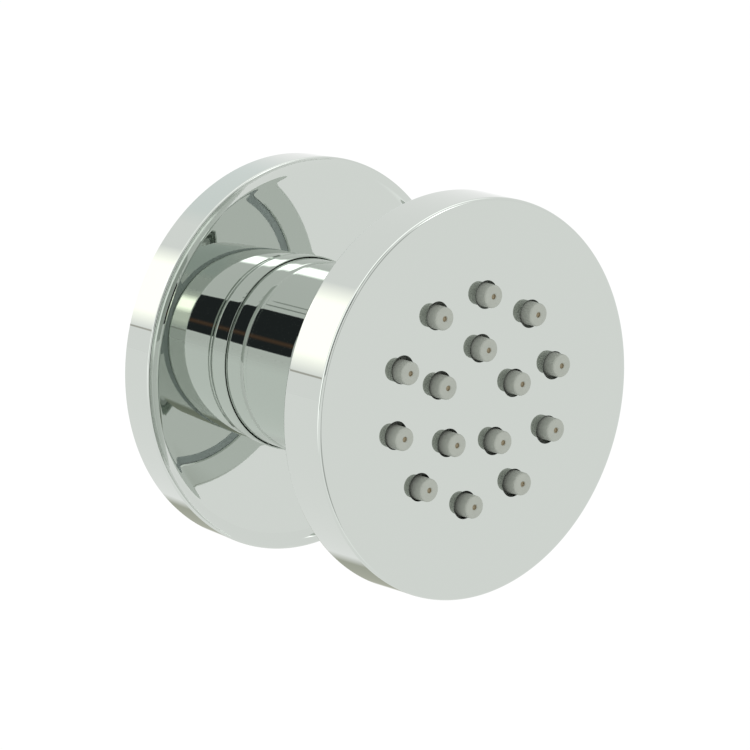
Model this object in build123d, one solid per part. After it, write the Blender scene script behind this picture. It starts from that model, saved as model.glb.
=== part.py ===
from build123d import *
import math
import os

# Shower body jet: a round spray head on a swivel ball, with a wall flange and a threaded inlet.
# The water axis is Y. The wall is the plane y = 0, the jet faces -Y and +Z is up.
# Distances along the axis are counted from the wall towards the bather.

# Driving dimensions, in millimetres and degrees

# Wall flange: a hollow turned cover with a very slightly domed, polished face and a raised rim
flange_dia = 60.2
flange_depth = 5.8
face_sink = 0.7
flange_wall = 1.6
flange_taper = 0.3
dome_sag = 0.3
rim_width = 3.0
rim_edge = 0.15
hole_round = 0.2
slide_gap = 0.05
hub_wall_gap = 0.7
hub_back_wall = 1.4
flange_ring_section = 1.9

# Neck: the collar of the inlet body and the swivel nut in front of it
neck_dia = 29.0
collar_step = 0.1
collar_width = 3.3
collar_round_length = 1.2
collar_round_drop = 0.55
neck_groove_width = 0.4
neck_groove_step = 0.1
nut_length = 16.1
nut_hood = 4.0
nut_wall = 2.2
nut_lip = 2.4
nut_nose = 0.8
nut_lead = 0.3
nut_flare = 0.7

# Inlet: male pipe thread, drawn at its outside diameter
inlet_thread_dia = 20.955
inlet_length = 14.0
inlet_wall = 1.9
inlet_chamfer = 1.0
inlet_relief_length = 2.1
inlet_relief_depth = 1.0
water_bore_dia = 11.0
key_size = 12.0
key_depth = 7.0
body_back_gap = 0.6
inlet_washer_thick = 1.5
inlet_washer_width = 2.6
flow_disc_thick = 2.0
flow_hole_dia = 2.8
flow_port_dia = 1.6
flow_port_circle = 7.0
flow_port_count = 6
screen_thick = 1.2
screen_web = 0.5
screen_rim = 1.2
screen_hole_dia = 1.3
screen_hole_pitch = 2.3
screen_rings = 2

# Swivel ball and its seats
body_wall = 1.55
seat_wall = 0.5
body_setback = 1.5
seat_hold = 4.2
front_seat_length = 3.0
ball_seal_section = 2.4
ball_seal_angle = 46.8
ball_bore_dia = 7.0
ball_mouth_flare = 2.0
ball_mouth_depth = 4.0
tilt_limit = 15.0
stem_dia = 11.0
stem_hex = 14.0
stem_hex_length = 2.8
stem_washer_thick = 0.8
stem_washer_dia = 16.0
stem_end_gap = 0.3

# Spray head: a cup whose back is closed by a cover disc
ball_to_head = 17.9
head_dia = 60.0
head_depth = 8.1
head_wall = 4.7
face_thick = 1.6
head_front_round = 0.8
head_back_round = 0.5
seam_chamfer = 0.2
cover_thick = 2.0
cover_boss_dia = 19.0
cover_boss_length = 3.2
cover_boss_chamfer = 0.5
skirt_width = 2.7
head_seal_section = 1.5
head_seal_sink = 0.3
spray_plate_thick = 1.5
spray_port_dia = 2.2

# Silicone nozzles, on two circles
mat_thick = 1.2
outer_circle_dia = 31.3
inner_circle_dia = 15.4
outer_count = 10
inner_count = 5
hole_start_angle = 7.5
mat_lag = 0.25
nozzle_root_dia = 3.6
nozzle_tip_dia = 3.45
nozzle_round = 0.35
nozzle_stand = 2.0
nozzle_channel_dia = 1.8
nozzle_jet_dia = 0.8
hole_gap = 0.33

# Clearances between pieces that fit together
thread_gap = 0.1
seat_gap = 0.05
ball_gap = 0.1
spin_gap = 0.1
lip_gap = 0.4
swing_gap = 0.5
seal_gap = 0.05
groove_play = 0.2
drop_in_gap = 0.1
cover_gap = 0.05
mat_gap = 0.3

# Radii worked out from the driving dimensions
flange_r = flange_dia / 2
neck_r = neck_dia / 2
collar_r = neck_r + collar_step
flange_hole_r = collar_r + slide_gap
nut_bore_r = neck_r - nut_wall
nut_thread_r = nut_bore_r - thread_gap
seat_bore_r = nut_thread_r - body_wall
seat_r = seat_bore_r - seat_gap
ball_r = seat_r - seat_wall - ball_gap
socket_r = ball_r + ball_gap
inlet_r = inlet_thread_dia / 2
inlet_pocket_r = inlet_r - inlet_wall
water_bore_r = water_bore_dia / 2
stem_r = stem_dia / 2
stem_hole_r = stem_r + thread_gap
head_r = head_dia / 2
head_bore_r = head_r - head_wall
cover_r = head_bore_r - cover_gap
mat_r = head_bore_r - mat_gap
outer_circle_r = outer_circle_dia / 2
inner_circle_r = inner_circle_dia / 2
nozzle_root_r = nozzle_root_dia / 2
nozzle_tip_r = nozzle_tip_dia / 2
face_hole_r = nozzle_root_r + hole_gap
mat_turn = math.degrees(mat_lag / outer_circle_r)

# Places along the water axis, counted from the wall
flange_face_at = flange_depth - face_sink
flange_ring_at = (hub_wall_gap + flange_face_at) / 2
collar_end = flange_depth + collar_width
nut_back = collar_end + neck_groove_width
lip_front = nut_back + nut_length
lip_back = lip_front - nut_lip
nut_end = lip_front + nut_hood
front_seat_front = lip_back - spin_gap
front_seat_back = front_seat_front - front_seat_length
ball_at = front_seat_front - seat_hold
body_end = ball_at - body_setback
seal_reach = ball_r + ball_seal_section / 2 + seal_gap
ball_seal_r = seal_reach * math.sin(math.radians(ball_seal_angle))
ball_seal_at = ball_at - seal_reach * math.cos(math.radians(ball_seal_angle))
seal_pocket_back = ball_seal_at - ball_seal_section / 2
rear_seat_back = ball_seal_at + ball_seal_section / 2 + seal_gap
inlet_end = -inlet_length
inlet_ledge = inlet_end + flow_disc_thick + screen_thick
head_back_at = ball_at + ball_to_head
face_at = head_back_at + head_depth
face_back = face_at - face_thick
mat_back = face_back - mat_thick
plate_back = mat_back - spray_plate_thick
cover_front = head_back_at + cover_thick
head_seal_at = head_back_at + head_seal_sink + head_seal_section / 2
boss_back = head_back_at - cover_boss_length
hex_front = boss_back - stem_washer_thick
hex_back = hex_front - stem_hex_length
stem_end = cover_front - stem_end_gap


def at(radius, distance):
    """Point of a turned outline: radius from the water axis, distance from the wall."""
    return (radius, -distance)


def turned(*strokes):
    """Solid turned about the water axis from the strokes of one closed outline."""
    return revolve(make_face(Curve() + list(strokes)), Axis.Y)


def ring(inner, outer, back, front):
    """Plain turned ring between two radii and two distances."""
    corners = [at(inner, back), at(outer, back), at(outer, front), at(inner, front)]
    return turned(Polyline(*corners, close=True))


def o_ring(middle, section, distance):
    """O-ring about the water axis."""
    return Pos(0, -distance, 0) * Rot(90, 0, 0) * Torus(middle, section / 2)


def disc(radius, back, front):
    """Round plate across the water axis."""
    middle = (back + front) / 2
    return Pos(0, -middle, 0) * Rot(90, 0, 0) * Cylinder(radius, front - back)


def hexagon(across_flats, back, front):
    """Six-sided bar along the water axis."""
    section = RegularPolygon(across_flats / 2, 6, major_radius=False)
    return Pos(0, -back, 0) * Rot(90, 0, 0) * extrude(section, front - back)


def sphere_r(radius, distance):
    """Radius of a sphere round the ball's centre, cut across at a distance from the wall."""
    return math.sqrt(radius ** 2 - (distance - ball_at) ** 2)


def sphere_arc(radius, start, end):
    """Outline stroke along a sphere round the ball's centre."""
    middle = (start + end) / 2
    marks = [at(sphere_r(radius, distance), distance) for distance in (start, middle, end)]
    return ThreePointArc(*marks)


def nozzle_spots(first_angle):
    """Places of the nozzles across the axis, clockwise from the top as seen from the front."""
    spots = []
    for radius, count in ((outer_circle_r, outer_count), (inner_circle_r, inner_count)):
        for index in range(count):
            angle = math.radians(first_angle + 360 / count * index)
            spots.append((radius * math.sin(angle), radius * math.cos(angle)))
    return spots


def wall_flange():
    """Hollow cover with a polished face, a raised rim and a hub that rides on the collar."""
    hollow_front = flange_face_at - dome_sag - flange_wall
    groove_r = collar_r + flange_ring_section + 2 * seal_gap
    hub_r = groove_r + hub_back_wall
    groove_half = (flange_ring_section + groove_play) / 2
    foot_r = flange_r - flange_taper
    hole = Polyline(
        at(hub_r, hollow_front),
        at(hub_r, hub_wall_gap),
        at(flange_hole_r, hub_wall_gap),
        at(flange_hole_r, flange_ring_at - groove_half),
        at(groove_r, flange_ring_at - groove_half),
        at(groove_r, flange_ring_at + groove_half),
        at(flange_hole_r, flange_ring_at + groove_half),
        at(flange_hole_r, flange_face_at - hole_round),
    )
    mouth = TangentArc(hole @ 1, at(flange_hole_r + hole_round, flange_face_at), tangent=(0, -1))
    dome = TangentArc(mouth @ 1, at(flange_r - rim_width, flange_face_at - dome_sag), tangent=(1, 0))
    dish = TangentArc(dome @ 1, at(flange_r - rim_edge, flange_depth), tangent=dome % 1)
    edge = TangentArc(dish @ 1, at(flange_r, flange_depth - rim_edge), tangent=(1, 0))
    skirt = Polyline(
        edge @ 1,
        at(foot_r, 0),
        at(foot_r - flange_wall, 0),
        at(foot_r - flange_wall, hollow_front),
        at(hub_r, hollow_front),
    )
    return turned(hole, mouth, dome, dish, edge, skirt)


def flange_ring():
    """O-ring in the flange's hub that grips the collar."""
    middle_r = collar_r + seal_gap + flange_ring_section / 2
    return o_ring(middle_r, flange_ring_section, flange_ring_at)


def inlet_body():
    """Turned body: threaded inlet, collar, socket for the ball's rear seat and a key socket."""
    pocket_r = ball_seal_r + ball_seal_section / 2 + seal_gap
    relief_back = body_back_gap - inlet_relief_length
    back = Polyline(
        at(inlet_pocket_r, inlet_end),
        at(inlet_r - inlet_chamfer, inlet_end),
        at(inlet_r, inlet_end + inlet_chamfer),
        at(inlet_r, relief_back),
        at(inlet_r - inlet_relief_depth, relief_back),
        at(inlet_r - inlet_relief_depth, body_back_gap),
        at(collar_r, body_back_gap),
        at(collar_r, collar_end - collar_round_length),
    )
    shoulder = TangentArc(back @ 1, at(collar_r - collar_round_drop, collar_end), tangent=(0, -1))
    neck_groove_r = collar_r - collar_round_drop - neck_groove_step
    front = Polyline(
        shoulder @ 1,
        at(neck_groove_r, collar_end),
        at(neck_groove_r, nut_back),
        at(nut_thread_r, nut_back),
        at(nut_thread_r, body_end),
        at(seat_bore_r, body_end),
        at(seat_bore_r, rear_seat_back),
        at(pocket_r, rear_seat_back),
        at(pocket_r, seal_pocket_back),
        at(water_bore_r, seal_pocket_back),
        at(water_bore_r, inlet_ledge),
        at(inlet_pocket_r, inlet_ledge),
        at(inlet_pocket_r, inlet_end),
    )
    return turned(back, shoulder, front) - hexagon(key_size, seal_pocket_back - key_depth, seal_pocket_back)


def inlet_washer():
    """Flat seal behind the shoulder of the body."""
    inner = inlet_r + drop_in_gap
    return ring(inner, inner + inlet_washer_width, body_back_gap - inlet_washer_thick, body_back_gap)


def flow_disc():
    """Flow limiting disc in the mouth of the inlet."""
    front = inlet_ledge
    back = front - flow_disc_thick
    body = disc(inlet_pocket_r - drop_in_gap, back, front) - disc(flow_hole_dia / 2, back, front)
    for index in range(flow_port_count):
        turn = 360 / flow_port_count * index
        body -= Rot(0, turn, 0) * Pos(flow_port_circle / 2, 0, 0) * disc(flow_port_dia / 2, back, front)
    return body


def inlet_screen():
    """Strainer: a rim round a thin web with holes on a hexagonal grid."""
    front = inlet_end + screen_thick
    outer = inlet_pocket_r - drop_in_gap
    body = ring(outer - screen_rim, outer, inlet_end, front) + disc(outer, front - screen_web, front)
    for column in range(-screen_rings, screen_rings + 1):
        row_length = 2 * screen_rings + 1 - abs(column)
        for place in range(row_length):
            x = column * screen_hole_pitch * math.sin(math.radians(60))
            z = (place - (row_length - 1) / 2) * screen_hole_pitch
            body -= Pos(x, 0, z) * disc(screen_hole_dia / 2, inlet_end, front)
    return body


def ball_seal():
    """O-ring that the ball is pressed onto."""
    return o_ring(ball_seal_r, ball_seal_section, ball_seal_at)


def rear_seat():
    """Plastic ring that backs the ball."""
    bowl = sphere_arc(socket_r, body_end, rear_seat_back)
    sides = Polyline(bowl @ 1, at(seat_r, rear_seat_back), at(seat_r, body_end), bowl @ 0)
    return turned(bowl, sides)


def swivel_ball():
    """Hollow ball with a hexagon and a threaded stem for the head."""
    body = Pos(0, -ball_at, 0) * Sphere(ball_r)
    body += disc(stem_r, ball_at, stem_end)
    body += hexagon(stem_hex, hex_back, hex_front)
    body -= disc(ball_bore_dia / 2, ball_at - 2 * ball_r, stem_end)
    ball_back = ball_at - ball_r
    mouth = [
        at(0, ball_back),
        at(ball_bore_dia / 2 + ball_mouth_flare, ball_back),
        at(ball_bore_dia / 2, ball_back + ball_mouth_depth),
        at(0, ball_back + ball_mouth_depth),
    ]
    return body - turned(Polyline(*mouth, close=True))


def front_seat():
    """Plastic slip ring that holds the ball in from the front."""
    bowl = sphere_arc(socket_r, front_seat_back, front_seat_front)
    outer = nut_bore_r - spin_gap
    sides = Polyline(bowl @ 1, at(outer, front_seat_front), at(outer, front_seat_back), bowl @ 0)
    return turned(bowl, sides)


def swivel_nut():
    """Chromed nut: the plain front part of the neck, with a lip and a hood in front of the ball."""
    tilt = math.radians(tilt_limit)
    swing_r = (lip_front - ball_at) * math.tan(tilt) + stem_r / math.cos(tilt) + swing_gap
    lip_r = max(sphere_r(ball_r + lip_gap, lip_back), swing_r)
    corners = [
        at(nut_bore_r, nut_back),
        at(neck_r - nut_lead, nut_back),
        at(neck_r, nut_back + nut_lead),
        at(neck_r, nut_end - nut_nose),
        at(neck_r - nut_nose, nut_end),
        at(nut_bore_r, nut_end),
        at(nut_bore_r, lip_front),
        at(lip_r + nut_flare, lip_front),
        at(lip_r, lip_front - nut_flare),
        at(lip_r, lip_back),
        at(nut_bore_r, lip_back),
    ]
    return turned(Polyline(*corners, close=True))


def stem_washer():
    """Flat seal between the ball's hexagon and the boss of the head's cover."""
    return ring(stem_hole_r, stem_washer_dia / 2, hex_front, boss_back)


def head_back():
    """Cover disc of the head, with a boss for the stem, a rebate for the seal and a pressing skirt."""
    boss_r = cover_boss_dia / 2
    rebate_r = head_bore_r - head_seal_section - 2 * seal_gap
    rebate_floor = head_seal_at + head_seal_section / 2
    corners = [
        at(stem_hole_r, boss_back),
        at(boss_r - cover_boss_chamfer, boss_back),
        at(boss_r, boss_back + cover_boss_chamfer),
        at(boss_r, head_back_at),
        at(rebate_r, head_back_at),
        at(rebate_r, rebate_floor),
        at(cover_r, rebate_floor),
        at(cover_r, plate_back),
        at(cover_r - skirt_width, plate_back),
        at(cover_r - skirt_width, cover_front),
        at(stem_hole_r, cover_front),
    ]
    return turned(Polyline(*corners, close=True))


def head_seal():
    """O-ring in the open seam between the cover and the shell of the head."""
    middle_r = head_bore_r - seal_gap - head_seal_section / 2
    return o_ring(middle_r, head_seal_section, head_seal_at)


def head_shell():
    """Cup of the spray head, with a hole in its face for every nozzle."""
    back = Polyline(
        at(head_bore_r, head_back_at + seam_chamfer),
        at(head_bore_r + seam_chamfer, head_back_at),
        at(head_r - head_back_round, head_back_at),
    )
    heel = TangentArc(back @ 1, at(head_r, head_back_at + head_back_round), tangent=(1, 0))
    side = Line(heel @ 1, at(head_r, face_at - head_front_round))
    brow = TangentArc(side @ 1, at(head_r - head_front_round, face_at), tangent=(0, -1))
    front = Polyline(
        brow @ 1,
        at(0, face_at),
        at(0, face_back),
        at(head_bore_r, face_back),
        at(head_bore_r, head_back_at + seam_chamfer),
    )
    body = turned(back, heel, side, brow, front)
    for x, z in nozzle_spots(hole_start_angle):
        body -= Pos(x, 0, z) * disc(face_hole_r, face_back, face_at)
    return body


def spray_plate():
    """Plate that holds the mat against the face and feeds every nozzle."""
    body = disc(mat_r, plate_back, mat_back)
    for x, z in nozzle_spots(hole_start_angle - mat_turn):
        body -= Pos(x, 0, z) * disc(spray_port_dia / 2, plate_back, mat_back)
    return body


def nozzle():
    """One silicone nozzle on the water axis: a tapered tube with a rounded tip and a fine jet."""
    tip = face_at + nozzle_stand
    wall = Line(at(nozzle_root_r, face_back), at(nozzle_tip_r, tip - nozzle_round))
    lip = TangentArc(wall @ 1, at(nozzle_tip_r - nozzle_round, tip), tangent=wall % 1)
    inside = Polyline(
        lip @ 1,
        at(nozzle_jet_dia / 2, tip),
        at(nozzle_jet_dia / 2, tip - nozzle_stand / 2),
        at(nozzle_channel_dia / 2, face_at),
        at(nozzle_channel_dia / 2, mat_back),
        at(nozzle_root_r, mat_back),
        at(nozzle_root_r, face_back),
    )
    return turned(wall, lip, inside)


def nozzle_mat():
    """Silicone mat with its nozzles, turned a little against the holes of the face."""
    body = disc(mat_r, mat_back, face_back)
    single = nozzle()
    for x, z in nozzle_spots(hole_start_angle - mat_turn):
        body -= Pos(x, 0, z) * disc(nozzle_channel_dia / 2, mat_back, face_back)
        body += Pos(x, 0, z) * single
    return body


pieces = {
    "wall_flange": wall_flange,
    "flange_ring": flange_ring,
    "inlet_body": inlet_body,
    "inlet_washer": inlet_washer,
    "flow_disc": flow_disc,
    "inlet_screen": inlet_screen,
    "ball_seal": ball_seal,
    "rear_seat": rear_seat,
    "swivel_ball": swivel_ball,
    "front_seat": front_seat,
    "swivel_nut": swivel_nut,
    "stem_washer": stem_washer,
    "head_back": head_back,
    "head_seal": head_seal,
    "head_shell": head_shell,
    "spray_plate": spray_plate,
    "nozzle_mat": nozzle_mat,
}

os.makedirs("parts", exist_ok=True)
for name, make in pieces.items():
    export_step(make(), os.path.join("parts", name + ".step"))
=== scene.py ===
import math
from collections import namedtuple

import bpy
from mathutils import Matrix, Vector


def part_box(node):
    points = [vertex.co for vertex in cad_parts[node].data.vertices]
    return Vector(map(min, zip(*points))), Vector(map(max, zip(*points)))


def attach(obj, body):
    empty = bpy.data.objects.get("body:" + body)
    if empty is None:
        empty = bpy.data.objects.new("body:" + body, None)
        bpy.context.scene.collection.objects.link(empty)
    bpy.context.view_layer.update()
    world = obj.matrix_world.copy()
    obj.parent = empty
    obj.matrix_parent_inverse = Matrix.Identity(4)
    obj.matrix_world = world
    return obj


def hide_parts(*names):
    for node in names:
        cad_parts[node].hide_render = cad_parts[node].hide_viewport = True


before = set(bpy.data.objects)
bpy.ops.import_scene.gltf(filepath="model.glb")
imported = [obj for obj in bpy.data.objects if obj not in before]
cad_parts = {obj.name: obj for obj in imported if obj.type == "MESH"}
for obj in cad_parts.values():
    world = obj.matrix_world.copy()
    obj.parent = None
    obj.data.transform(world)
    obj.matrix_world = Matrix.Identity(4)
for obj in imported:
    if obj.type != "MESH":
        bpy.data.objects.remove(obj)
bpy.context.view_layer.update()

bl_info = {
    "name": "Shower Body Jet",
    "version": (1, 0, 0),
    "blender": (4, 5, 0),
    "location": "View3D > Sidebar > Body Jet",
    "description": "Dresses the body jet's solids and sets them in a white studio",
    "category": "Object",
}

# Sizes that the solids give, in metres. Distances are counted from the wall towards the bather.
flange_low, flange_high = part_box("wall_flange")
FLANGE_R = flange_high.x
FLANGE_DEPTH = -flange_low.y
body_low, body_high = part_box("inlet_body")
COLLAR_R = body_high.x
BODY_END = -body_low.y
INLET_END = -body_high.y
nut_low, nut_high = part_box("swivel_nut")
NECK_R = nut_high.x
NUT_BACK = -nut_high.y
NUT_END = -nut_low.y
shell_low, shell_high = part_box("head_shell")
HEAD_R = shell_high.x
HEAD_BACK = -shell_high.y
FACE = -shell_low.y
cover_low, cover_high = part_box("head_back")
COVER_R = cover_high.x
BOSS_BACK = -cover_high.y
PLATE_BACK = -cover_low.y
mat_low, mat_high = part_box("nozzle_mat")
MAT_R = mat_high.x
MAT_BACK = -mat_high.y
NOZZLE_TIP = -mat_low.y

WATER_AXIS = (0.0, 1.0, 0.0)
WHITE = (1.0, 1.0, 1.0)

# Fineness of the meshes: steps round the axis, steps along an arc, and the angle in degrees from which
# an edge is shown sharp
SPIN_STEPS = 256
MAT_STEPS = 96
THREAD_STEPS = 96
NOZZLE_STEPS = 64
HOLE_STEPS = 64
CARD_STEPS = 48
DISH_STEPS = 24
ARC_STEPS = 10
SHARP = 30.0
NOZZLE_SHARP = 40.0
MERGE = 1e-7

# Roughness of the finishes
CHROME_ROUGH = 0.02
STEEL_ROUGH = 0.3
PLASTIC_ROUGH = 0.45
RUBBER_ROUGH = 0.5
SILICONE_ROUGH = 0.5
JET_ROUGH = 0.7


def length(name, description, default):
    """Property that holds a length in metres."""
    return bpy.props.FloatProperty(name=name, description=description, default=default, unit="LENGTH")


def angle(name, description, degrees):
    """Property that holds an angle."""
    return bpy.props.FloatProperty(
        name=name, description=description, default=math.radians(degrees), subtype="ANGLE")


def count(name, description, default):
    """Property that holds a number of like pieces."""
    return bpy.props.IntProperty(name=name, description=description, default=default, min=1)


def colour(name, description, default):
    """Property that holds a colour."""
    return bpy.props.FloatVectorProperty(
        name=name, description=description, default=default, subtype="COLOR", min=0.0, max=1.0)


class JetSizes(bpy.types.PropertyGroup):
    """Sizes of the forms that the solids' boxes do not give."""

    face_sink: length("Face sink", "Depth of the flange's face below its raised rim", 0.0007)
    dome_sag: length("Dome sag", "Fall of the flange's polished face towards its rim", 0.0003)
    rim_width: length("Rim width", "Width of the raised rim of the flange", 0.003)
    rim_edge: length("Rim edge", "Rounding of the flange's outer edge", 0.0003)
    flange_taper: length("Flange taper", "How much narrower the flange is at the wall", 0.0003)
    flange_wall: length("Flange wall", "Thickness of the flange's wall", 0.0016)
    hole_round: length("Hole rounding", "Rounding of the hole in the flange", 0.0003)
    slide_gap: length("Slide gap", "Gap between flange and collar", 0.00005)
    hub_width: length("Hub width", "Width of the hub behind the flange", 0.00335)
    hub_gap: length("Hub gap", "Distance of the hub from the wall", 0.0007)
    collar_back: length("Collar back", "Distance of the collar's back face from the wall", 0.0006)
    collar_round: length("Collar rounding", "Length of the collar's rounded shoulder", 0.0009)
    collar_drop: length("Collar drop", "Depth of the collar's rounded shoulder", 0.00014)
    groove_width: length("Groove width", "Width of the groove between collar and nut", 0.0004)
    groove_step: length("Groove step", "Depth of the groove below the shoulder", 0.0001)
    nut_lead: length("Nut lead", "Edge break at the nut's back end", 0.0002)
    nut_nose: length("Nut nose", "Rounding of the nut's front edge", 0.0008)
    nut_hood: length("Nut hood", "Length of the nut in front of its lip", 0.004)
    nut_bore_r: length("Nut bore", "Radius of the bore inside the nut", 0.0123)
    lip_r: length("Nut opening", "Radius of the opening that the ball's stem swings in", 0.0095)
    lip_thick: length("Nut lip", "Thickness of the lip in front of the ball", 0.0024)
    lip_flare: length("Lip flare", "Chamfer of the nut's opening", 0.0007)
    thread_gap: length("Thread gap", "Gap between the nut and the body's thread", 0.0001)
    socket_r: length("Socket", "Radius of the body's socket for the ball", 0.01065)
    socket_back: length("Socket back", "Distance of the socket's floor from the wall", 0.01)
    water_bore_r: length("Water bore", "Radius of the bore through the inlet", 0.0055)
    inlet_wall: length("Inlet wall", "Thickness of the inlet's wall at its mouth", 0.0019)
    inlet_pocket: length("Inlet pocket", "Depth of the inlet's pocket for disc and screen", 0.0032)
    thread_pitch: length("Thread pitch", "Pitch of the inlet's pipe thread", 0.001814)
    thread_depth: length("Thread depth", "Depth of the inlet's pipe thread", 0.001162)
    thread_start: length("Thread start", "Distance of the thread's front end behind the wall", 0.0015)
    head_front_round: length("Head front rounding", "Rounding of the head's front edge", 0.0005)
    head_back_round: length("Head back rounding", "Rounding of the head's back edge", 0.0005)
    face_thick: length("Face thickness", "Thickness of the head's face", 0.0016)
    seam_chamfer: length("Seam chamfer", "Edge break of the shell at the seam", 0.0002)
    seam_width: length("Seam width", "Width of the cover's rebate for the head's seal", 0.00155)
    seal_sink: length("Seal sink", "Depth of the head's seal below the cover", 0.0003)
    seam_depth: length("Seam depth", "Depth of the cover's rebate for the head's seal", 0.0018)
    cover_gap: length("Cover gap", "Gap between the cover and the shell", 0.00005)
    cover_thick: length("Cover thickness", "Thickness of the cover's disc", 0.002)
    skirt_width: length("Skirt width", "Width of the cover's skirt", 0.0027)
    boss_r: length("Boss radius", "Radius of the boss on the head's cover", 0.0095)
    boss_chamfer: length("Boss chamfer", "Chamfer of the boss", 0.0005)
    boss_root: length("Boss root", "Rounding at the root of the boss", 0.0008)
    stem_hole_r: length("Stem hole", "Radius of the hole for the stem", 0.0056)
    outer_circle_r: length("Outer nozzle circle", "Radius of the outer circle of nozzles", 0.01565)
    inner_circle_r: length("Inner nozzle circle", "Radius of the inner circle of nozzles", 0.0077)
    outer_count: count("Outer nozzles", "Number of nozzles on the outer circle", 10)
    inner_count: count("Inner nozzles", "Number of nozzles on the inner circle", 5)
    hole_start: angle("Hole start", "Angle of the first hole, clockwise from the top", 7.5)
    hole_gap: length("Hole gap", "Gap between a nozzle's root and its hole", 0.00033)
    mat_lag: length("Mat lag", "How far the outer nozzles lag behind their holes", 0.00025)
    nozzle_root_r: length("Nozzle root", "Radius of a nozzle where it leaves the mat", 0.0018)
    nozzle_tip_r: length("Nozzle tip", "Radius of a nozzle at its tip", 0.001725)
    nozzle_round: length("Nozzle rounding", "Rounding of a nozzle's tip", 0.00035)
    jet_r: length("Jet radius", "Radius of the fine hole in a nozzle's tip", 0.0004)
    jet_edge: length("Jet edge", "Edge break of the fine hole", 0.00012)
    jet_depth: length("Jet depth", "Depth of the fine hole", 0.00035)


class JetColours(bpy.types.PropertyGroup):
    """Colours of the finishes."""

    chrome: colour("Chrome", "Reflection colour of the polished chrome", (0.60, 0.635, 0.60))
    silicone: colour("Silicone", "Colour of the nozzles", (0.425, 0.452, 0.40))
    jet: colour("Jet", "Colour inside the nozzles' fine holes", (0.34, 0.29, 0.19))
    rubber: colour("Rubber", "Colour of the seals", (0.36, 0.41, 0.40))
    plastic: colour("Plastic", "Colour of the seats and inner plates", (0.80, 0.80, 0.76))
    steel: colour("Steel", "Colour of the inlet's strainer", (0.58, 0.58, 0.57))
    studio: colour("Studio", "Colour of the studio that the chrome mirrors", WHITE)
    floor: colour("Floor", "Colour of the floor", (0.90, 0.90, 0.90))


class JetStudio(bpy.types.PropertyGroup):
    """Camera and studio."""

    aim: bpy.props.FloatVectorProperty(
        name="Aim", description="Point that the camera looks at",
        default=(0.0106, -0.0100, -0.0042), subtype="XYZ", unit="LENGTH")
    azimuth: angle("Azimuth", "Camera's turn round the jet, from straight in front", -40.68)
    elevation: angle("Elevation", "Camera's angle above the horizon", 13.43)
    distance: length("Distance", "Camera's distance from the aim", 0.9113)
    lens: bpy.props.FloatProperty(
        name="Lens", description="Focal length on a 36 mm sensor", default=288.0, unit="CAMERA")
    floor_drop: length("Floor drop", "Distance of the floor below the water axis", 1.2)
    floor_lift: bpy.props.FloatProperty(
        name="Floor lift", description="Glow that keeps the floor white to the eye", default=0.12)


def sizes():
    """Sizes that the user has set."""
    return bpy.context.scene.jet_sizes


def colours():
    """Colours that the user has set."""
    return bpy.context.scene.jet_colours


def arc(centre, radius, start, end, steps=ARC_STEPS):
    """Points of an arc in an outline. Angles run from outwards towards the bather, in degrees."""
    points = []
    for index in range(steps + 1):
        place = math.radians(start + (end - start) * index / steps)
        points.append((centre[0] + radius * math.cos(place), centre[1] + radius * math.sin(place)))
    return points


def bend(start, end, heading, steps=ARC_STEPS):
    """Points of an arc that leaves the start in a heading and meets the end, and its last heading."""
    swing = 2 * (math.atan2(end[1] - start[1], end[0] - start[0]) - heading)
    radius = math.dist(start, end) / (2 * math.sin(swing / 2))
    points = []
    for index in range(1, steps + 1):
        way = heading + swing * index / steps
        points.append((start[0] + radius * (math.sin(way) - math.sin(heading)),
                       start[1] - radius * (math.cos(way) - math.cos(heading))))
    return points, heading + swing


def flat(start, end, margin=0.00006):
    """Straight stretch of an outline, held flat by a point close to each end."""
    share = margin / math.dist(start, end)
    near = [a + (b - a) * share for a, b in zip(start, end)]
    far = [b - (b - a) * share for a, b in zip(start, end)]
    return [start, tuple(near), tuple(far), end]


def draw_outline(name, points, turn=0.0):
    """New object in edit mode: one vertex extruded along the points (radius, distance)."""
    bpy.ops.object.select_all(action="DESELECT")
    bpy.ops.mesh.primitive_plane_add(size=0.01)
    piece = bpy.context.active_object
    piece.name = name
    piece.data.name = name
    bpy.ops.object.mode_set(mode="EDIT")
    bpy.ops.mesh.select_all(action="SELECT")
    bpy.ops.mesh.merge(type="CENTER")
    place = Vector((0.0, 0.0, 0.0))
    for index, (radius, distance) in enumerate(points):
        target = Vector((radius * math.cos(turn), -distance, radius * math.sin(turn)))
        step = target - place
        if index == 0:
            bpy.ops.transform.translate(value=step)
        elif step.length > MERGE:
            bpy.ops.mesh.extrude_region_move(TRANSFORM_OT_translate={"value": step})
        place = target
    return piece


def turn_outline(name, points, steps=SPIN_STEPS, sharp=SHARP):
    """Piece turned about the water axis from an outline of (radius, distance) points."""
    piece = draw_outline(name, points)
    bpy.ops.mesh.select_all(action="SELECT")
    bpy.ops.mesh.spin(steps=steps, angle=2 * math.pi, center=(0, 0, 0), axis=WATER_AXIS)
    bpy.ops.mesh.select_all(action="SELECT")
    bpy.ops.mesh.remove_doubles(threshold=MERGE)
    bpy.ops.mesh.normals_make_consistent(inside=False)
    bpy.ops.object.mode_set(mode="OBJECT")
    bpy.ops.object.shade_smooth_by_angle(angle=math.radians(sharp))
    return piece


def dress(piece, material, body, slot, *nodes):
    """Gives a piece its material and its body and hides the solids it stands for; the slot, a finish's
    name, is not used.
    """
    piece.data.materials.clear()
    piece.data.materials.append(material)
    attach(piece, body)
    if nodes:
        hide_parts(*nodes)


def join_all(pieces):
    """Joins objects into the first of them."""
    bpy.ops.object.select_all(action="DESELECT")
    for piece in pieces:
        piece.select_set(True)
    bpy.context.view_layer.objects.active = pieces[0]
    bpy.ops.object.join()
    return bpy.context.active_object


def new_material(name):
    """Node material and its principled shader."""
    material = bpy.data.materials.new(name)
    material.use_nodes = True
    return material, material.node_tree.nodes["Principled BSDF"]


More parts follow.
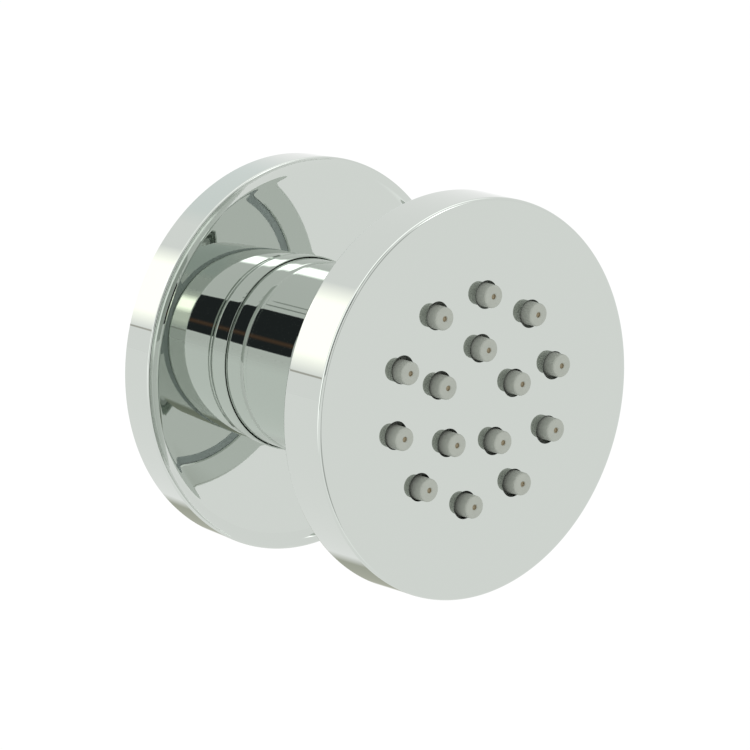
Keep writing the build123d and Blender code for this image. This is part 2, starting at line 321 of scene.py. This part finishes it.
def plain_material(name, base, roughness, metallic=0.0):
    """Finish of one even colour."""
    material, shader = new_material(name)
    shader.inputs["Base Color"].default_value = (*base, 1.0)
    shader.inputs["Roughness"].default_value = roughness
    shader.inputs["Metallic"].default_value = metallic
    return material


def chrome_material():
    """Polished chrome, made once and used by every plated piece."""
    made = bpy.data.materials.get("polished_chrome")
    return made or plain_material("polished_chrome", colours().chrome, CHROME_ROUGH, 1.0)


def rubber_material():
    """Rubber, made once and used by every seal."""
    made = bpy.data.materials.get("grey_rubber")
    return made or plain_material("grey_rubber", colours().rubber, RUBBER_ROUGH)


def silicone_material():
    """Matt grey silicone, faintly cloudy, with painted shade that darkens the nozzles towards their root.
    """
    fine, layers = 900.0, 3.0
    dark, light = 0.92, 1.06
    # Painted shade: the nozzles' colour falls to this share at the face, next to their holes, and rises
    # to full at the tips.
    painted_root_shade = 0.56
    material, shader = new_material("nozzle_silicone_painted_shade")
    tree = material.node_tree
    place = tree.nodes.new("ShaderNodeTexCoord")
    cloud = tree.nodes.new("ShaderNodeTexNoise")
    cloud.inputs["Scale"].default_value = fine
    cloud.inputs["Detail"].default_value = layers
    tint = tree.nodes.new("ShaderNodeMix")
    tint.data_type = "RGBA"
    base = colours().silicone
    tint.inputs["A"].default_value = (*(dark * part for part in base), 1.0)
    tint.inputs["B"].default_value = (*(light * part for part in base), 1.0)
    apart = tree.nodes.new("ShaderNodeSeparateXYZ")
    # Painted shade, mapped from the face out to the nozzle tips.
    depth = tree.nodes.new("ShaderNodeMapRange")
    depth.inputs["From Min"].default_value = -FACE
    depth.inputs["From Max"].default_value = -NOZZLE_TIP
    depth.inputs["To Min"].default_value = painted_root_shade
    shade = tree.nodes.new("ShaderNodeVectorMath")
    shade.operation = "SCALE"
    tree.links.new(place.outputs["Object"], cloud.inputs["Vector"])
    tree.links.new(cloud.outputs["Fac"], tint.inputs["Factor"])
    tree.links.new(place.outputs["Object"], apart.inputs["Vector"])
    tree.links.new(apart.outputs["Y"], depth.inputs["Value"])
    tree.links.new(tint.outputs["Result"], shade.inputs["Vector"])
    tree.links.new(depth.outputs["Result"], shade.inputs["Scale"])
    tree.links.new(shade.outputs["Vector"], shader.inputs["Base Color"])
    shader.inputs["Roughness"].default_value = SILICONE_ROUGH
    shader.inputs["Specular IOR Level"].default_value = 0.35
    return material


class JET_OT_flange(bpy.types.Operator):
    """Turn the hollow wall flange with its polished face and raised rim"""

    bl_idname = "jet.flange"
    bl_label = "Wall Flange"

    def execute(self, context):
        s = sizes()
        hole_r = COLLAR_R + s.slide_gap
        hub_r = hole_r + s.hub_width
        face_at = FLANGE_DEPTH - s.face_sink
        hollow_front = face_at - s.dome_sag - s.flange_wall
        foot_r = FLANGE_R - s.flange_taper
        crest = (hole_r + s.hole_round, face_at)
        valley = (FLANGE_R - s.rim_width, face_at - s.dome_sag)
        edge_r = FLANGE_R - s.rim_edge
        edge_at = FLANGE_DEPTH - s.rim_edge
        dome, heading = bend(crest, valley, 0.0, DISH_STEPS)
        dish = bend(valley, (edge_r, FLANGE_DEPTH), heading, DISH_STEPS)[0]
        points = [(hub_r, hollow_front), (hub_r, s.hub_gap), (hole_r, s.hub_gap)]
        points += arc((crest[0], face_at - s.hole_round), s.hole_round, 180, 90)
        points += dome + dish
        points += arc((edge_r, edge_at), s.rim_edge, 90, 0)
        points += flat((FLANGE_R, edge_at), (foot_r, 0.0))
        points += [(foot_r - s.flange_wall, 0.0), (foot_r - s.flange_wall, hollow_front)]
        points += [(hub_r, hollow_front)]
        piece = turn_outline("flange_cover", points)
        dress(piece, chrome_material(), "flange", "chrome", "wall_flange")
        return {"FINISHED"}


def inlet_radius():
    """Outside radius of the inlet's thread, from the solid's own corners behind the wall."""
    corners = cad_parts["inlet_body"].data.vertices
    return max(math.hypot(c.co.x, c.co.z) for c in corners if c.co.y > -INLET_END / 2)


class JET_OT_neck(bpy.types.Operator):
    """Turn the collar, the threaded inlet and the swivel nut"""

    bl_idname = "jet.neck"
    bl_label = "Neck and Inlet"

    def execute(self, context):
        s = sizes()
        self.make_body(s)
        self.make_thread(s)
        self.make_nut(s)
        return {"FINISHED"}

    def make_body(self, s):
        """Collar, inlet and socket of the body."""
        inlet_r = inlet_radius()
        core_r = inlet_r - s.thread_depth
        mouth_r = inlet_r - s.inlet_wall
        stem_r = s.nut_bore_r - s.thread_gap
        collar_end = NUT_BACK - s.groove_width
        start = collar_end - s.collar_round
        groove_r = COLLAR_R - s.collar_drop - s.groove_step
        ledge = INLET_END + s.inlet_pocket
        points = [(mouth_r, INLET_END), (core_r, INLET_END), (core_r, s.collar_back)]
        points += flat((COLLAR_R, s.collar_back), (COLLAR_R, start))
        points += bend((COLLAR_R, start), (COLLAR_R - s.collar_drop, collar_end), math.pi / 2)[0]
        points += flat((groove_r, collar_end), (groove_r, NUT_BACK))
        points += [(stem_r, NUT_BACK), (stem_r, BODY_END), (s.socket_r, BODY_END)]
        points += [(s.socket_r, s.socket_back), (s.water_bore_r, s.socket_back)]
        points += [(s.water_bore_r, ledge), (mouth_r, ledge), (mouth_r, INLET_END)]
        piece = turn_outline("inlet_chrome", points)
        dress(piece, chrome_material(), "wall_body", "chrome", "inlet_body")

    def make_thread(self, s):
        """Pipe thread: one tooth's outline screwed along the inlet."""
        outer = inlet_radius()
        root = outer - s.thread_depth
        sunk = root - s.thread_gap
        crest = s.thread_pitch / 8
        half = s.thread_pitch / 2
        start = -s.thread_start - s.thread_pitch
        points = [(sunk, start - half), (root, start - half + crest), (outer, start - crest)]
        points += [(outer, start + crest), (root, start + half - crest), (sunk, start + half)]
        piece = draw_outline("inlet_thread", points)
        bpy.ops.object.mode_set(mode="OBJECT")
        screw = piece.modifiers.new("turns", "SCREW")
        screw.axis = "Y"
        screw.screw_offset = s.thread_pitch
        screw.iterations = math.floor((-INLET_END - s.thread_start) / s.thread_pitch) - 1
        screw.steps = THREAD_STEPS
        screw.render_steps = THREAD_STEPS
        screw.use_merge_vertices = True
        screw.merge_threshold = MERGE
        bpy.ops.object.modifier_apply(modifier=screw.name)
        bpy.ops.object.mode_set(mode="EDIT")
        bpy.ops.mesh.select_all(action="SELECT")
        bpy.ops.mesh.normals_make_consistent(inside=False)
        bpy.ops.object.mode_set(mode="OBJECT")
        bpy.ops.object.shade_smooth_by_angle(angle=math.radians(SHARP))
        dress(piece, chrome_material(), "wall_body", "chrome")

    def make_nut(self, s):
        """Plain front part of the neck, with its lip and hood."""
        lip_front = NUT_END - s.nut_hood
        lip_back = lip_front - s.lip_thick
        points = [(s.nut_bore_r, NUT_BACK), (NECK_R - s.nut_lead, NUT_BACK)]
        points += flat((NECK_R, NUT_BACK + s.nut_lead), (NECK_R, NUT_END - s.nut_nose))
        points += arc((NECK_R - s.nut_nose, NUT_END - s.nut_nose), s.nut_nose, 0, 90)
        points += [(s.nut_bore_r, NUT_END), (s.nut_bore_r, lip_front), (s.lip_r + s.lip_flare, lip_front)]
        points += [(s.lip_r, lip_front - s.lip_flare), (s.lip_r, lip_back)]
        points += [(s.nut_bore_r, lip_back), (s.nut_bore_r, NUT_BACK)]
        piece = turn_outline("nut_chrome", points)
        dress(piece, chrome_material(), "wall_body", "chrome", "swivel_nut")


def nozzle_spots(first):
    """Places of the nozzles across the axis, clockwise from the top as seen from the front."""
    s = sizes()
    spots = []
    for radius, number in ((s.outer_circle_r, s.outer_count), (s.inner_circle_r, s.inner_count)):
        for index in range(number):
            place = first + 2 * math.pi * index / number
            spots.append((radius * math.sin(place), radius * math.cos(place)))
    return spots


class JET_OT_head(bpy.types.Operator):
    """Turn the head's shell, cut its nozzle holes and turn the cover and the seal in its back"""

    bl_idname = "jet.head"
    bl_label = "Spray Head"

    def execute(self, context):
        s = sizes()
        self.make_shell(s)
        self.make_cover(s)
        self.make_seal(s)
        return {"FINISHED"}

    def make_shell(self, s):
        """Cup with the face, and the bore that the cover goes into."""
        bore_r = COVER_R + s.cover_gap
        back_r = HEAD_R - s.head_back_round
        front_r = HEAD_R - s.head_front_round
        face_back = FACE - s.face_thick
        points = [(bore_r, HEAD_BACK + s.seam_chamfer)]
        points += flat((bore_r + s.seam_chamfer, HEAD_BACK), (back_r, HEAD_BACK))
        points += arc((back_r, HEAD_BACK + s.head_back_round), s.head_back_round, 270, 360)
        points += flat((HEAD_R, HEAD_BACK + s.head_back_round), (HEAD_R, FACE - s.head_front_round))
        points += arc((front_r, FACE - s.head_front_round), s.head_front_round, 0, 90)
        points += flat((front_r, FACE), (0.0, FACE))
        points += [(0.0, face_back), (bore_r, face_back), (bore_r, HEAD_BACK + s.seam_chamfer)]
        piece = turn_outline("head_cup", points)
        self.cut_holes(s, piece)
        dress(piece, chrome_material(), "head", "chrome", "head_shell")

    def cut_holes(self, s, piece):
        """Holes of the face, each a little wider than its nozzle."""
        radius = s.nozzle_root_r + s.hole_gap
        cutters = []
        for x, z in nozzle_spots(s.hole_start):
            bpy.ops.mesh.primitive_cylinder_add(
                vertices=HOLE_STEPS, radius=radius, depth=4 * s.face_thick,
                location=(x, -FACE, z), rotation=(math.pi / 2, 0, 0))
            cutters.append(bpy.context.active_object)
        punch = join_all(cutters)
        bpy.ops.object.select_all(action="DESELECT")
        piece.select_set(True)
        bpy.context.view_layer.objects.active = piece
        cut = piece.modifiers.new("holes", "BOOLEAN")
        cut.operation = "DIFFERENCE"
        cut.solver = "EXACT"
        cut.object = punch
        bpy.ops.object.modifier_apply(modifier=cut.name)
        bpy.data.objects.remove(punch)
        bpy.ops.object.shade_smooth_by_angle(angle=math.radians(SHARP))

    def make_cover(self, s):
        """Cover disc with its boss, the rebate for the seal and the skirt."""
        groove_r = COVER_R - s.seam_width
        skirt_r = COVER_R - s.skirt_width
        cover_front = HEAD_BACK + s.cover_thick
        root_r = s.boss_r + s.boss_root
        points = [(s.stem_hole_r, BOSS_BACK), (s.boss_r - s.boss_chamfer, BOSS_BACK)]
        points += [(s.boss_r, BOSS_BACK + s.boss_chamfer)]
        points += arc((root_r, HEAD_BACK - s.boss_root), s.boss_root, 180, 90)
        points += flat((root_r, HEAD_BACK), (groove_r, HEAD_BACK))
        points += [(groove_r, HEAD_BACK + s.seam_depth), (COVER_R, HEAD_BACK + s.seam_depth)]
        points += [(COVER_R, PLATE_BACK), (skirt_r, PLATE_BACK), (skirt_r, cover_front)]
        points += [(s.stem_hole_r, cover_front), (s.stem_hole_r, BOSS_BACK)]
        piece = turn_outline("head_cover", points)
        dress(piece, chrome_material(), "head", "chrome", "head_back")

    def make_seal(self, s):
        """Seal pressed flat in the rebate between cover and shell."""
        inner_r = COVER_R - s.seam_width + s.cover_gap / 2
        outer_r = COVER_R + s.cover_gap / 2
        back = HEAD_BACK + s.seal_sink
        front = HEAD_BACK + s.seam_depth - s.cover_gap
        corners = [(inner_r, back), (outer_r, back), (outer_r, front), (inner_r, front), (inner_r, back)]
        piece = turn_outline("head_seal_ring", corners)
        dress(piece, rubber_material(), "head", "seal_rubber", "head_seal")


class JET_OT_nozzles(bpy.types.Operator):
    """Turn one silicone nozzle, set it out on its circles and join it with the mat"""

    bl_idname = "jet.nozzles"
    bl_label = "Nozzle Mat"

    def execute(self, context):
        s = sizes()
        mat_front = FACE - s.face_thick
        materials = (silicone_material(), plain_material("jet_hole", colours().jet, JET_ROUGH))
        corners = [(0.0, MAT_BACK), (MAT_R, MAT_BACK), (MAT_R, mat_front), (0.0, mat_front)]
        mat = turn_outline("nozzle_mat_silicone", corners, MAT_STEPS)
        single = self.make_nozzle(s, mat_front)
        for piece in (mat, single):
            for material in materials:
                piece.data.materials.append(material)
        for face in single.data.polygons:
            if math.hypot(face.center.x, face.center.z) < s.jet_r + MERGE:
                face.material_index = 1
        copies = []
        for x, z in nozzle_spots(s.hole_start - s.mat_lag / s.outer_circle_r):
            bpy.ops.object.select_all(action="DESELECT")
            single.select_set(True)
            bpy.context.view_layer.objects.active = single
            bpy.ops.object.duplicate()
            bpy.ops.transform.translate(value=(x, 0.0, z))
            copies.append(bpy.context.active_object)
        bpy.data.objects.remove(single)
        piece = join_all([mat, *copies])
        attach(piece, "head")
        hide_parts("nozzle_mat")
        return {"FINISHED"}

    def make_nozzle(self, s, mat_front):
        """One nozzle on the water axis, with a soft tip and a fine hole."""
        round_at = NOZZLE_TIP - s.nozzle_round
        points = [(s.nozzle_root_r, mat_front), (s.nozzle_tip_r, round_at)]
        points += arc((s.nozzle_tip_r - s.nozzle_round, round_at), s.nozzle_round, 0, 90)[1:]
        points += [(s.jet_r + s.jet_edge, NOZZLE_TIP), (s.jet_r, NOZZLE_TIP - s.jet_edge)]
        points += [(s.jet_r, NOZZLE_TIP - s.jet_depth), (0.0, NOZZLE_TIP - s.jet_depth)]
        return turn_outline("nozzle", points, NOZZLE_STEPS, NOZZLE_SHARP)


class JET_OT_inside(bpy.types.Operator):
    """Give the seals, seats, ball and inner plates their finishes"""

    bl_idname = "jet.inside"
    bl_label = "Inner Pieces"

    def execute(self, context):
        c = colours()
        finishes = {
            rubber_material(): ("flange_ring", "inlet_washer", "ball_seal", "stem_washer"),
            plain_material("white_plastic", c.plastic, PLASTIC_ROUGH):
                ("flow_disc", "rear_seat", "front_seat", "spray_plate"),
            plain_material("strainer_steel", c.steel, STEEL_ROUGH, 1.0): ("inlet_screen",),
            chrome_material(): ("swivel_ball",),
        }
        for material, names in finishes.items():
            for name in names:
                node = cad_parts[name]
                node.data.materials.clear()
                node.data.materials.append(material)
        return {"FINISHED"}


# A card of the studio: the degrees away from straight in front that it fills, the degrees that it fills
# round the water axis, from the right over the top to the left, the degrees over which its edge fades,
# its distance in metres, and the colour that it shows. Near cards stand in front of far ones.
Card = namedtuple("Card", "polar turn soft far shown")

CARDS = {
    "black_card": Card((34, 51), (120, 169), 0.8, 1.15, (0.030, 0.034, 0.037)),
    "brown_stripe": Card((34, 51), (152, 159), 3.0, 1.14, (0.12, 0.07, 0.047)),
    "grey_line_high": Card((43.5, 51), (107.5, 109.5), 0.7, 1.13, (0.45, 0.47, 0.45)),
    "grey_line_low": Card((43.0, 51), (113.5, 115.5), 0.7, 1.12, (0.35, 0.37, 0.35)),
    "low_fill": Card((32, 53), (-184, -62), 16.0, 1.15, (1.15, 1.16, 1.16)),
    "side_grey": Card((51, 76), (96, 186), 2.0, 1.16, (0.60, 0.63, 0.60)),
    "top_box": Card((33, 51), (36, 60), 5.0, 1.15, (3.2, 3.2, 3.2)),
    "front_grey": Card((13, 33), (-120, 65), 7.0, 1.15, (0.55, 0.56, 0.55)),
    "warm_box": Card((120, 158), (116, 171), 12.0, 9.0, (1.75, 1.71, 1.60)),
    "strip_light": Card((141.0, 145.2), (124, 149), 8.0, 8.0, (4.5, 4.3, 3.9)),
    "cool_wall": Card((140.5, 147.0), (10, 98), 12.0, 8.0, (0.90, 0.94, 0.945)),
    "stand_edge": Card((130, 152), (170.0, 171.4), 0.4, 7.0, (0.52, 0.50, 0.46)),
    "edge_box": Card((72, 108), (40, 205), 20.0, 1.15, (1.7, 1.7, 1.7)),
    "olive_ground": Card((122, 154), (-74, -28), 9.0, 1.15, (0.47, 0.48, 0.41)),
}


class JET_OT_stage(bpy.types.Operator):
    """Set up the camera, the white studio, its cards and the floor"""

    bl_idname = "jet.stage"
    bl_label = "Studio"

    def execute(self, context):
        studio = context.scene.jet_studio
        self.make_world(context.scene)
        self.make_floor(studio)
        for name in CARDS:
            self.make_card(name)
        self.make_camera(context.scene, studio)
        context.scene.view_settings.view_transform = "Standard"
        return {"FINISHED"}

    def make_world(self, scene):
        """White room all round."""
        world = bpy.data.worlds.new("white_studio")
        scene.world = world
        world.use_nodes = True
        world.node_tree.nodes["Background"].inputs["Color"].default_value = (*colours().studio, 1.0)

    def make_floor(self, studio):
        """Pale floor that the camera, and mirrors and glass, see as white."""
        bpy.ops.object.select_all(action="DESELECT")
        width = 40.0
        bpy.ops.mesh.primitive_plane_add(size=width, location=(0, 0, -studio.floor_drop))
        floor = bpy.context.active_object
        floor.name = "floor"
        material, shader = new_material("floor_white")
        tree = material.node_tree
        shader.inputs["Base Color"].default_value = (*colours().floor, 1.0)
        shader.inputs["Roughness"].default_value = 1.0
        shader.inputs["Specular IOR Level"].default_value = 0.0
        shader.inputs["Emission Color"].default_value = (*WHITE, 1.0)
        rays = tree.nodes.new("ShaderNodeLightPath")
        sight = rays.outputs["Is Camera Ray"]
        for other in ("Is Glossy Ray", "Is Transmission Ray"):
            either = tree.nodes.new("ShaderNodeMath")
            either.operation = "MAXIMUM"
            tree.links.new(sight, either.inputs[0])
            tree.links.new(rays.outputs[other], either.inputs[1])
            sight = either.outputs["Value"]
        lift = tree.nodes.new("ShaderNodeMath")
        lift.operation = "MULTIPLY"
        lift.inputs[1].default_value = studio.floor_lift
        tree.links.new(sight, lift.inputs[0])
        tree.links.new(lift.outputs["Value"], shader.inputs["Emission Strength"])
        floor.data.materials.append(material)

    def make_card(self, name, steps=CARD_STEPS):
        """Curved card, a patch of a sphere round the jet that fades out at its edges."""
        polar, turn, soft, far, shown = CARDS[name]
        rim = arc((0.0, 0.0), far, 90 - polar[0], 90 - polar[1], steps)
        card = draw_outline(name, rim, math.radians(turn[0]))
        bpy.ops.mesh.select_all(action="SELECT")
        bpy.ops.mesh.spin(
            steps=steps, angle=math.radians(turn[1] - turn[0]), center=(0, 0, 0), axis=WATER_AXIS)
        bpy.ops.object.mode_set(mode="OBJECT")
        fade = card.data.attributes.new("fade", "FLOAT", "POINT")
        for corner, share in zip(card.data.vertices, fade.data):
            away = math.degrees(math.acos(-corner.co.y / far))
            round_axis = math.degrees(math.atan2(corner.co.z, corner.co.x))
            round_axis = turn[0] + (round_axis - turn[0] + 1) % 360 - 1
            in_polar = min(away - polar[0], polar[1] - away) / min(soft, (polar[1] - polar[0]) / 4)
            in_turn = min(round_axis - turn[0], turn[1] - round_axis) / soft
            share.value = min(max(min(in_polar, in_turn), 0.0), 1.0)
        card.data.materials.append(self.card_material(name, shown))
        card.visible_camera = False
        card.visible_diffuse = False

    def card_material(self, name, shown):
        """Glow that fades to clear where the card's own fade value falls."""
        material, shader = new_material(name)
        tree = material.node_tree
        tree.nodes.remove(shader)
        share = tree.nodes.new("ShaderNodeAttribute")
        share.attribute_name = "fade"
        clear = tree.nodes.new("ShaderNodeBsdfTransparent")
        glow = tree.nodes.new("ShaderNodeEmission")
        glow.inputs["Color"].default_value = (*shown, 1.0)
        blend = tree.nodes.new("ShaderNodeMixShader")
        tree.links.new(share.outputs["Fac"], blend.inputs["Fac"])
        tree.links.new(clear.outputs["BSDF"], blend.inputs[1])
        tree.links.new(glow.outputs["Emission"], blend.inputs[2])
        tree.links.new(blend.outputs["Shader"], tree.nodes["Material Output"].inputs["Surface"])
        return material

    def make_camera(self, scene, studio):
        """Long lens that looks at the aim from the front left."""
        turn, rise = studio.azimuth, studio.elevation
        back = Vector((math.sin(turn) * math.cos(rise), -math.cos(turn) * math.cos(rise), math.sin(rise)))
        lens = bpy.data.cameras.new("camera")
        lens.sensor_width = 36.0
        lens.lens = studio.lens
        lens.clip_start = 0.05
        lens.clip_end = 100.0
        camera = bpy.data.objects.new("camera", lens)
        scene.collection.objects.link(camera)
        camera.location = Vector(studio.aim) + back * studio.distance
        camera.rotation_euler = (-back).to_track_quat("-Z", "Y").to_euler()
        scene.camera = camera


class JET_PT_panel(bpy.types.Panel):
    """Sidebar panel with the pieces of the body jet"""

    bl_idname = "JET_PT_panel"
    bl_label = "Body Jet"
    bl_space_type = "VIEW_3D"
    bl_region_type = "UI"
    bl_category = "Body Jet"

    def draw(self, context):
        for step in STEPS:
            self.layout.operator(step.bl_idname)


STEPS = (JET_OT_flange, JET_OT_neck, JET_OT_head, JET_OT_nozzles, JET_OT_inside, JET_OT_stage)
CLASSES = (JetSizes, JetColours, JetStudio, *STEPS, JET_PT_panel)


def register():
    for cls in CLASSES:
        bpy.utils.register_class(cls)
    bpy.types.Scene.jet_sizes = bpy.props.PointerProperty(type=JetSizes)
    bpy.types.Scene.jet_colours = bpy.props.PointerProperty(type=JetColours)
    bpy.types.Scene.jet_studio = bpy.props.PointerProperty(type=JetStudio)


def unregister():
    del bpy.types.Scene.jet_studio
    del bpy.types.Scene.jet_colours
    del bpy.types.Scene.jet_sizes
    for cls in reversed(CLASSES):
        bpy.utils.unregister_class(cls)


def main():
    register()
    bpy.ops.jet.flange()
    bpy.ops.jet.neck()
    bpy.ops.jet.head()
    bpy.ops.jet.nozzles()
    bpy.ops.jet.inside()
    bpy.ops.jet.stage()


if __name__ == "__main__":
    main()
